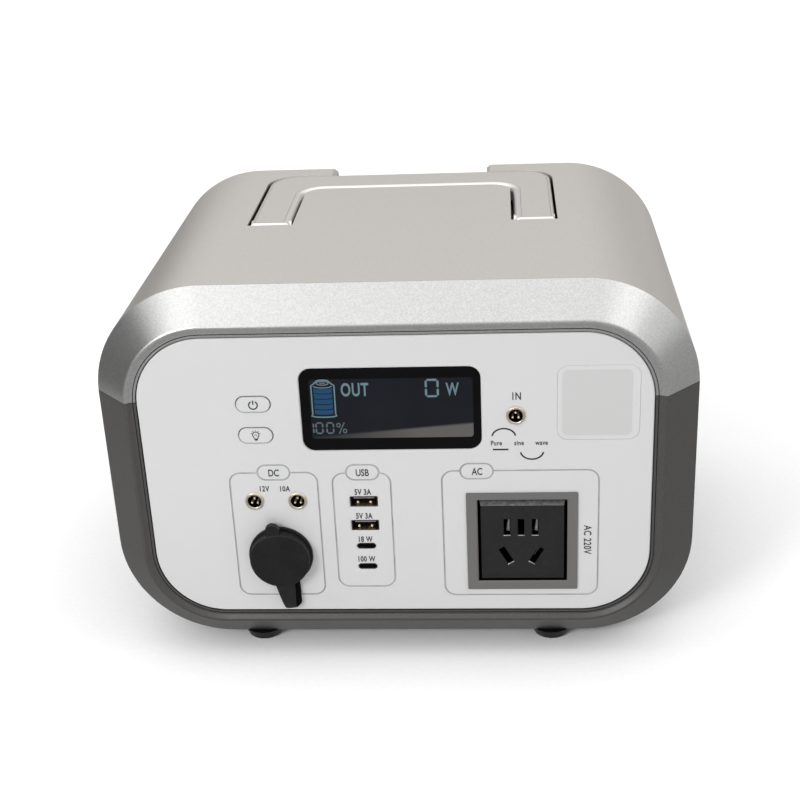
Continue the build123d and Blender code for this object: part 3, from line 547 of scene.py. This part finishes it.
# ---- printing on the panel ----------------------------------------------------------------
INK_Y = FACE_Y - INK_T
CAPS = {"height": 3.4, "squeeze": 0.72}
RATING = {"height": 2.6, "squeeze": 0.72, "spacing": 1.15, "bolder": 0.034}
PORT = {"height": 2.8, "squeeze": 0.68, "spacing": 1.1, "bolder": 0.034}
PANEL_LABELS = (
    ("dc", "DC", -56.6, 101.1, CAPS),
    ("usb", "USB", -15.5, 100.8, CAPS),
    ("ac", "AC", 37.1, 100.8, CAPS),
    ("12v", "12V", -61.5, 92.9, RATING),
    ("10a", "10A", -51.9, 92.8, RATING),
    ("upper_a", "5V 3A", -15.8, 90.7, PORT),
    ("lower_a", "5V 3A", -15.8, 78.1, PORT),
    ("upper_c", "18 W", -15.8, 65.6, PORT),
    ("lower_c", "100 W", -15.8, 54.8, PORT),
    ("in", "IN", 55.5, 138.4, {"height": 3.5, "squeeze": 0.72, "spacing": 1.25}),
    ("mains", "AC 220V", 87.7, 64.5, {"height": 3.3, "squeeze": 0.78, "spacing": 1.1, "turn": 90}),
)
for key, text, x, z, style in PANEL_LABELS:
    letters(f"label_{key}", text, x, z, y=INK_Y, material=ink, **style)

# sine wave mark: a crest, a trough and a short bar
CREST = arc(49.55, 118.2, 5.3, 4.2, 172, 8, 20)
TROUGH = arc(62.2, 111.0, 5.2, 4.15, 188, 352, 20)
flat("mark_crest", stroke(CREST, 0.75), INK_Y, mark)
flat("mark_trough", stroke(TROUGH, 0.75), INK_Y, mark)
flat("mark_bar", stroke([(44.5, 111.9), (51.6, 111.9)], 0.8), INK_Y, mark)
for word, x in (("Pure", 46.2), ("sine", 56.4), ("wave", 66.5)):
    letters(f"label_{word}", word, x, 115.2, height=2.3, y=INK_Y, material=mark,
            squeeze=0.75, spacing=1.1)

# icons on the push buttons
BUTTON_INK_Y = POWER_Y - INK_T
ring = arc(-63.1, 135.9, 1.95, 1.95, 118, 422, 40)
flat("icon_power_ring", stroke(ring, 0.6), BUTTON_INK_Y, mark, "power_button_cap")
flat("icon_power_stem", stroke([(-63.1, 136.1), (-63.1, 138.2)], 0.6), BUTTON_INK_Y, mark,
     "power_button_cap")
BULB_X, BULB_Z = -63.1, 121.0
bulb = arc(BULB_X, BULB_Z, 1.45, 1.45, -40, 220, 26)
bulb = [(BULB_X + 0.6, BULB_Z - 2.2)] + bulb + [(BULB_X - 0.6, BULB_Z - 2.2)]
flat("icon_bulb_glass", stroke(bulb, 0.42), BUTTON_INK_Y, mark, "light_button_cap")
flat("icon_bulb_base", [[(BULB_X - 0.55, BULB_Z - 2.9), (BULB_X + 0.55, BULB_Z - 2.9),
                         (BULB_X + 0.8, BULB_Z - 1.9), (BULB_X - 0.8, BULB_Z - 1.9)]],
     BUTTON_INK_Y, mark, "light_button_cap")
RAY_IN, RAY_OUT = 1.85, 2.35
rays = []
for turn in (20, 55, 90, 125, 160):
    c, s = math.cos(math.radians(turn)), math.sin(math.radians(turn))
    rays += stroke([(BULB_X + r * c, BULB_Z + r * s) for r in (RAY_IN, RAY_OUT)], 0.34)
flat("icon_bulb_rays", rays, BUTTON_INK_Y, mark, "light_button_cap")
flat("icon_bulb_wire", stroke(arc(BULB_X, BULB_Z - 0.8, 0.55, 0.9, 160, 20, 10), 0.26), BUTTON_INK_Y,
     mark, "light_button_cap")

# painted highlight: a thin light strip along the tongue of each USB-A port
for key, z in (("upper", 86.8), ("lower", 74.2)):
    flat(f"tongue_edge_{key}", stroke([(-20.4, z), (-10.8, z)], 0.32), TONGUE_Y - INK_T, tongue_painted_highlight)

# ---- display ------------------------------------------------------------------------------
SCREEN_Y = GLASS_Y - 0.02 * MM
SIGN_Y = GLASS_Y - 0.05 * MM
flat("lcd_screen", [rounded_rect(-37.3, 36.05, 118.4, 147.8, 1.6)], SCREEN_Y, lcd_back)


def sign(name, outlines, material):
    """Shape lit on the display."""
    flat(name, outlines, SIGN_Y, material)


def seven_segment(x0, x1, z0, z1, width, segments="abcdef"):
    """Slanted-end bars round one digit, lettered clockwise from the top."""
    half, gap = width / 2, 0.18
    mid = (z0 + z1) / 2
    lines = {
        "a": ((x0 + half, z1 - half), (x1 - half, z1 - half)),
        "b": ((x1 - half, z1 - half), (x1 - half, mid)),
        "c": ((x1 - half, mid), (x1 - half, z0 + half)),
        "d": ((x1 - half, z0 + half), (x0 + half, z0 + half)),
        "e": ((x0 + half, z0 + half), (x0 + half, mid)),
        "f": ((x0 + half, mid), (x0 + half, z1 - half)),
    }
    bars = []
    for key in segments:
        start, end = Vector(lines[key][0]), Vector(lines[key][1])
        along = (end - start).normalized()
        side = Vector((-along.y, along.x)) * half
        tip = along * half
        start, end = start + along * gap, end - along * gap
        bars.append([tuple(p) for p in (start, start + tip + side, end - tip + side, end,
                                        end - tip - side, start + tip - side)])
    return bars


sign("lcd_digit_power", seven_segment(14.75, 21.0, 138.3, 147.3, 1.0), lcd_line)
CHARGE_LOW, CHARGE_HIGH = 120.7, 126.6
sign("lcd_digit_1", seven_segment(-38.2, -36.1, CHARGE_LOW, CHARGE_HIGH, 0.7, "bc"), lcd_faint)
sign("lcd_digit_2", seven_segment(-35.6, -31.9, CHARGE_LOW, CHARGE_HIGH, 0.75), lcd_faint)
sign("lcd_digit_3", seven_segment(-30.7, -27.0, CHARGE_LOW, CHARGE_HIGH, 0.75), lcd_faint)
letters("lcd_out", "OUT", -16.7, 142.55, height=6.1, y=SIGN_Y, material=lcd_line,
        squeeze=0.63, spacing=1.1)
letters("lcd_watt", "W", 27.0, 142.2, height=5.9, y=SIGN_Y, material=lcd_line, squeeze=0.62)
sign("lcd_percent", stroke([(-24.9, 120.6), (-22.3, 126.4)], 0.5)
     + stroke(arc(-25.0, 125.0, 0.75, 0.95, 0, 360, 16)[:-1], 0.5, True)
     + stroke(arc(-22.2, 122.1, 0.75, 0.95, 0, 360, 16)[:-1], 0.5, True), lcd_faint)

# battery gauge: outline with sloped shoulders, flared feet, five curved bands and a cap
BAT_L, BAT_R, BAT_LOW = -36.3, -25.9, 129.6
SHOULDER, NECK_Z = 145.4, 147.0
BAT_MID = (BAT_L + BAT_R) / 2
case = [(BAT_L - 0.5, BAT_LOW), (BAT_L, BAT_LOW + 1.0), (BAT_L, SHOULDER - 0.6),
        (BAT_L + 0.9, SHOULDER), (BAT_L + 2.4, NECK_Z - 0.3)]
case += arc(BAT_MID, NECK_Z - 0.3, 2.9, 0.75, 170, 10, 10)
case += [(BAT_R - 2.4, NECK_Z - 0.3), (BAT_R - 0.9, SHOULDER), (BAT_R, SHOULDER - 0.6),
         (BAT_R, BAT_LOW + 1.0), (BAT_R + 0.5, BAT_LOW)]
case += arc(BAT_MID, BAT_LOW, 5.0, 0.5, 0, -180, 10)
sign("lcd_battery_case", stroke(case, 0.62, True), lcd_line)
band_low, band_high = BAT_LOW + 0.9, 143.6
band_step = (band_high - band_low) / 5
bands = []
for row in range(5):
    low = band_low + row * band_step
    high = low + band_step - 0.42
    lower = arc(BAT_MID, low + 0.35, 4.15, 0.5, 180, 360, 12)
    upper = arc(BAT_MID, high + 0.35, 4.15, 0.5, 360, 180, 12)
    bands.append(lower + upper)
sign("lcd_battery_fill", bands, lcd_fill)
sign("lcd_battery_rim", stroke(arc(BAT_MID, 144.6, 4.2, 1.0, 180, 360, 16), 0.45), lcd_line)
sign("lcd_battery_cap", stroke(arc(BAT_MID, 145.9, 2.7, 0.95, 0, 360, 28)[:-1], 0.42, True), lcd_line)
sign("lcd_battery_pip", [arc(BAT_MID, 145.9, 1.5, 0.42, 0, 360, 18)[:-1]], lcd_faint)

# ---- rubber strap that ties the socket's cap to the panel -------------------------------------
CAP_X, CAP_Z, CAP_TURN = -56.4, 57.5, math.radians(9.0)
STRAP_ROWS = (
    # height below the disc's centre, half width, front depth, back depth
    (-28.4, 2.7, -2.2, -0.05),
    (-27.9, 3.4, -3.4, -0.03),
    (-27.0, 3.9, -4.2, -0.03),
    (-25.2, 4.2, -4.6, -0.4),
    (-22.8, 4.6, -4.6, -0.6),
    (-20.0, 5.1, -4.3, -0.7),
    (-17.0, 5.5, -3.9, -0.8),
    (-14.0, 5.9, -3.6, -1.4),
    (-11.0, 5.9, -3.5, -1.75),
)


def cap_place(u, v, depth):
    """Point on the tilted cap: u across, v up from the disc's centre, depth from the panel."""
    x = CAP_X + u * math.cos(CAP_TURN) - v * math.sin(CAP_TURN)
    z = CAP_Z + u * math.sin(CAP_TURN) + v * math.cos(CAP_TURN)
    return Vector((x * MM, FACE_Y + depth * MM, z * MM))


def strap_mesh():
    """Loft of flattened sections with a broad bevel down the right edge, painted near black as the
    shaded side.
    """
    bm = bmesh.new()
    loops = []
    for v, half, front, back in STRAP_ROWS:
        section = [(-half, back), (-half, front + 0.7), (-half + 0.35, front + 0.15),
                   (-half + 1.0, front), (0.0, front - 0.08), (half - 2.1, front),
                   (half - 1.5, front + 0.25), (half - 0.3, back - 0.9), (half, back)]
        loops.append([bm.verts.new(cap_place(u, v, depth)) for u, depth in section])
    for lower, upper in zip(loops, loops[1:]):
        for k in range(len(lower)):
            n = (k + 1) % len(lower)
            side = bm.faces.new((lower[k], lower[n], upper[n], upper[k]))
            # painted shade: the right bevel's faces take the near-black second material
            side.material_index = 1 if k in (5, 6, 7) else 0
    bm.faces.new(loops[0])
    bm.faces.new(list(reversed(loops[-1])))
    bmesh.ops.recalc_face_normals(bm, faces=bm.faces)
    bmesh.ops.subdivide_edges(bm, edges=bm.edges, cuts=1, use_grid_fill=True)
    for face in bm.faces:
        face.smooth = True
    mesh = bpy.data.meshes.new("strap")
    bm.to_mesh(mesh)
    bm.free()
    return mesh


strap = bpy.data.objects.new("strap", strap_mesh())
bpy.context.scene.collection.objects.link(strap)
strap.data.materials.append(strap_rubber)
strap.data.materials.append(painted_shade_black)
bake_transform(strap)
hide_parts("cap_strap", "cap_anchor")

# ---- springs of the push buttons: round-wire coils in place of the CAD springs ------------------
def coil_mesh(name, x, z, front, length, radius, wire, turns, steps=18, sides=8):
    """Round wire wound about a line that runs back from (x, front, z)."""
    bm = bmesh.new()
    rings = []
    total = int(turns * steps)
    for k in range(total + 1):
        angle = 2 * math.pi * k / steps
        outward = Vector((math.cos(angle), 0, math.sin(angle)))
        centre = Vector((x, front + length * k / total, z)) + outward * radius
        around = [2 * math.pi * n / sides for n in range(sides)]
        offsets = [outward * math.cos(t) + Vector((0, math.sin(t), 0)) for t in around]
        rings.append([bm.verts.new(centre + offset * wire) for offset in offsets])
    for near, far in zip(rings, rings[1:]):
        for k in range(sides):
            n = (k + 1) % sides
            bm.faces.new((near[k], near[n], far[n], far[k]))
    bm.faces.new(rings[0])
    bm.faces.new(list(reversed(rings[-1])))
    bmesh.ops.recalc_face_normals(bm, faces=bm.faces)
    for face in bm.faces:
        face.smooth = True
    mesh = bpy.data.meshes.new(name)
    bm.to_mesh(mesh)
    bm.free()
    return mesh


WIRE_R = 0.22 * MM
COIL_R = 2.9 * MM
COIL_TURNS = 4.6
for key in ("power", "light"):
    low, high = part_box(f"{key}_button_spring")
    middle = (low + high) / 2
    length = high.y - low.y - 2 * WIRE_R
    mesh = coil_mesh(f"{key}_coil", middle.x, middle.z, low.y + WIRE_R, length, COIL_R, WIRE_R,
                     COIL_TURNS)
    coil = bpy.data.objects.new(f"{key}_coil", mesh)
    bpy.context.scene.collection.objects.link(coil)
    coil.data.materials.append(looks["screw_steel"])
    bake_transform(coil)
    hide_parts(f"{key}_button_spring")

# ---- floor, light and camera --------------------------------------------------------------
def lying(x0, x1, y0, y1, z):
    """Corners of a board that lies flat."""
    return [(x0, y0, z), (x1, y0, z), (x1, y1, z), (x0, y1, z)]


def upright(x, y0, y1, z0, z1):
    """Corners of a board that stands facing along x."""
    return [(x, y0, z0), (x, y1, z0), (x, y1, z1), (x, y0, z1)]


REACH = 9.0
floor_mesh = bpy.data.meshes.new("floor")
floor_mesh.from_pydata(lying(-REACH, REACH, -REACH, REACH, 0), [], [(0, 1, 2, 3)])
floor = bpy.data.objects.new("floor", floor_mesh)
bpy.context.scene.collection.objects.link(floor)
floor.data.materials.append(surface("floor_paper", grey(0.93), 0.8, specular=0.1,
                                    cloud=(1.5, 0.004), grain=(400.0, 0.02)))

world = bpy.data.worlds.new("studio")
bpy.context.scene.world = world
world.use_nodes = True
sky = world.node_tree
direction = add(sky, "ShaderNodeTexCoord").outputs["Generated"]
parts = add(sky, "ShaderNodeSeparateXYZ")
sky.links.new(direction, parts.inputs["Vector"])
ramp = add(sky, "ShaderNodeValToRGB")
sky.links.new(parts.outputs["Z"], ramp.inputs["Fac"])
HORIZON, ZENITH = 0.22, 1.52
ramp.color_ramp.elements[0].position = 0.0
ramp.color_ramp.elements[0].color = (*grey(HORIZON / ZENITH), 1)
ramp.color_ramp.elements[1].position = 1.0
ramp.color_ramp.elements[1].color = (1, 1, 1, 1)
sky.links.new(ramp.outputs["Color"], sky.nodes["Background"].inputs["Color"])
sky.nodes["Background"].inputs["Strength"].default_value = ZENITH


def softbox(name, place, aim, width, height, power):
    """Rectangular lamp at a place, turned to face the aim."""
    data = bpy.data.lights.new(name, "AREA")
    data.shape = "RECTANGLE"
    data.size = width
    data.size_y = height
    data.energy = power
    lamp = bpy.data.objects.new(name, data)
    lamp.location = place
    lamp.rotation_euler = (Vector(aim) - Vector(place)).to_track_quat("-Z", "Y").to_euler()
    bpy.context.scene.collection.objects.link(lamp)


def card(name, corners, glow, faces=((0, 1, 2, 3),)):
    """Studio card that only shows in glossy reflections: dark to shade, bright to light."""
    mesh = bpy.data.meshes.new(name)
    mesh.from_pydata(corners, [], faces)
    board = bpy.data.objects.new(name, mesh)
    bpy.context.scene.collection.objects.link(board)
    paper = bpy.data.materials.new(name)
    paper.use_nodes = True
    shader = paper.node_tree.nodes["Principled BSDF"]
    shader.inputs["Base Color"].default_value = (0, 0, 0, 1)
    shader.inputs["Specular IOR Level"].default_value = 0.0
    shader.inputs["Emission Color"].default_value = (1, 1, 1, 1)
    shader.inputs["Emission Strength"].default_value = glow
    mesh.materials.append(paper)
    board.visible_camera = False
    board.visible_diffuse = False
    board.visible_shadow = False
    return board


def backdrop(radius, height, glow, count=64):
    """Round plain wall behind the floor's edge. It only shows directly, and lights nothing."""
    ends = [(radius * math.cos(2 * math.pi * k / count), radius * math.sin(2 * math.pi * k / count))
            for k in range(count)]
    points = [(x, y, z) for z in (-0.5, height) for x, y in ends]
    panels = [(k, (k + 1) % count, (k + 1) % count + count, k + count) for k in range(count)]
    wall = card("backdrop", points, glow, panels)
    wall.visible_camera = True
    wall.visible_glossy = False
    wall.visible_transmission = False


softbox("overhead", (1.05, -0.3, 1.1), (0, -0.05, 0.1), 1.0, 0.8, 2.5)
softbox("key", (-1.1, -1.6, 0.95), (0, -0.1, 0.1), 0.6, 0.6, 19.0)
card("floor_card", lying(-2, 2, -2, 2, 0.4 * MM), 0.42)
card("left_card", upright(-0.50, -1.2, 1.0, 0.001, 0.42), 0.08)
card("left_high_card", lying(-0.95, -0.25, -0.9, 0.3, 1.1), 2.1)
card("right_low_card", upright(0.60, -1.2, 1.0, 0.001, 0.20), 0.42)
card("right_card", upright(0.90, -0.9, 0.5, 0.32, 0.80), 1.05)
backdrop(REACH - 0.1, REACH, 1.0)

EYE = (50.11 * MM, FACE_Y - 573.09 * MM, 401.13 * MM)
YAW, PITCH, ROLL = 4.653, -24.650, 2.742
FOCAL_LENGTH = 63.613
camera_data = bpy.data.cameras.new("camera")
camera = bpy.data.objects.new("camera", camera_data)
bpy.context.scene.collection.objects.link(camera)
camera_data.sensor_width = 36.0
camera_data.lens = FOCAL_LENGTH
camera_data.clip_start = 0.02
camera_data.clip_end = 60.0
turned = (Matrix.Rotation(math.radians(YAW), 4, "Z") @ Matrix.Rotation(math.radians(PITCH), 4, "X")
          @ Matrix.Rotation(math.radians(ROLL), 4, "Y") @ Matrix.Rotation(math.radians(90), 4, "X"))
camera.matrix_world = Matrix.Translation(EYE) @ turned
bpy.context.scene.camera = camera
bpy.context.scene.view_settings.view_transform = "Standard"
bpy.context.scene.view_settings.look = "None"
bpy.context.scene.view_settings.exposure = 0.0
bpy.context.scene.view_settings.gamma = 1.0
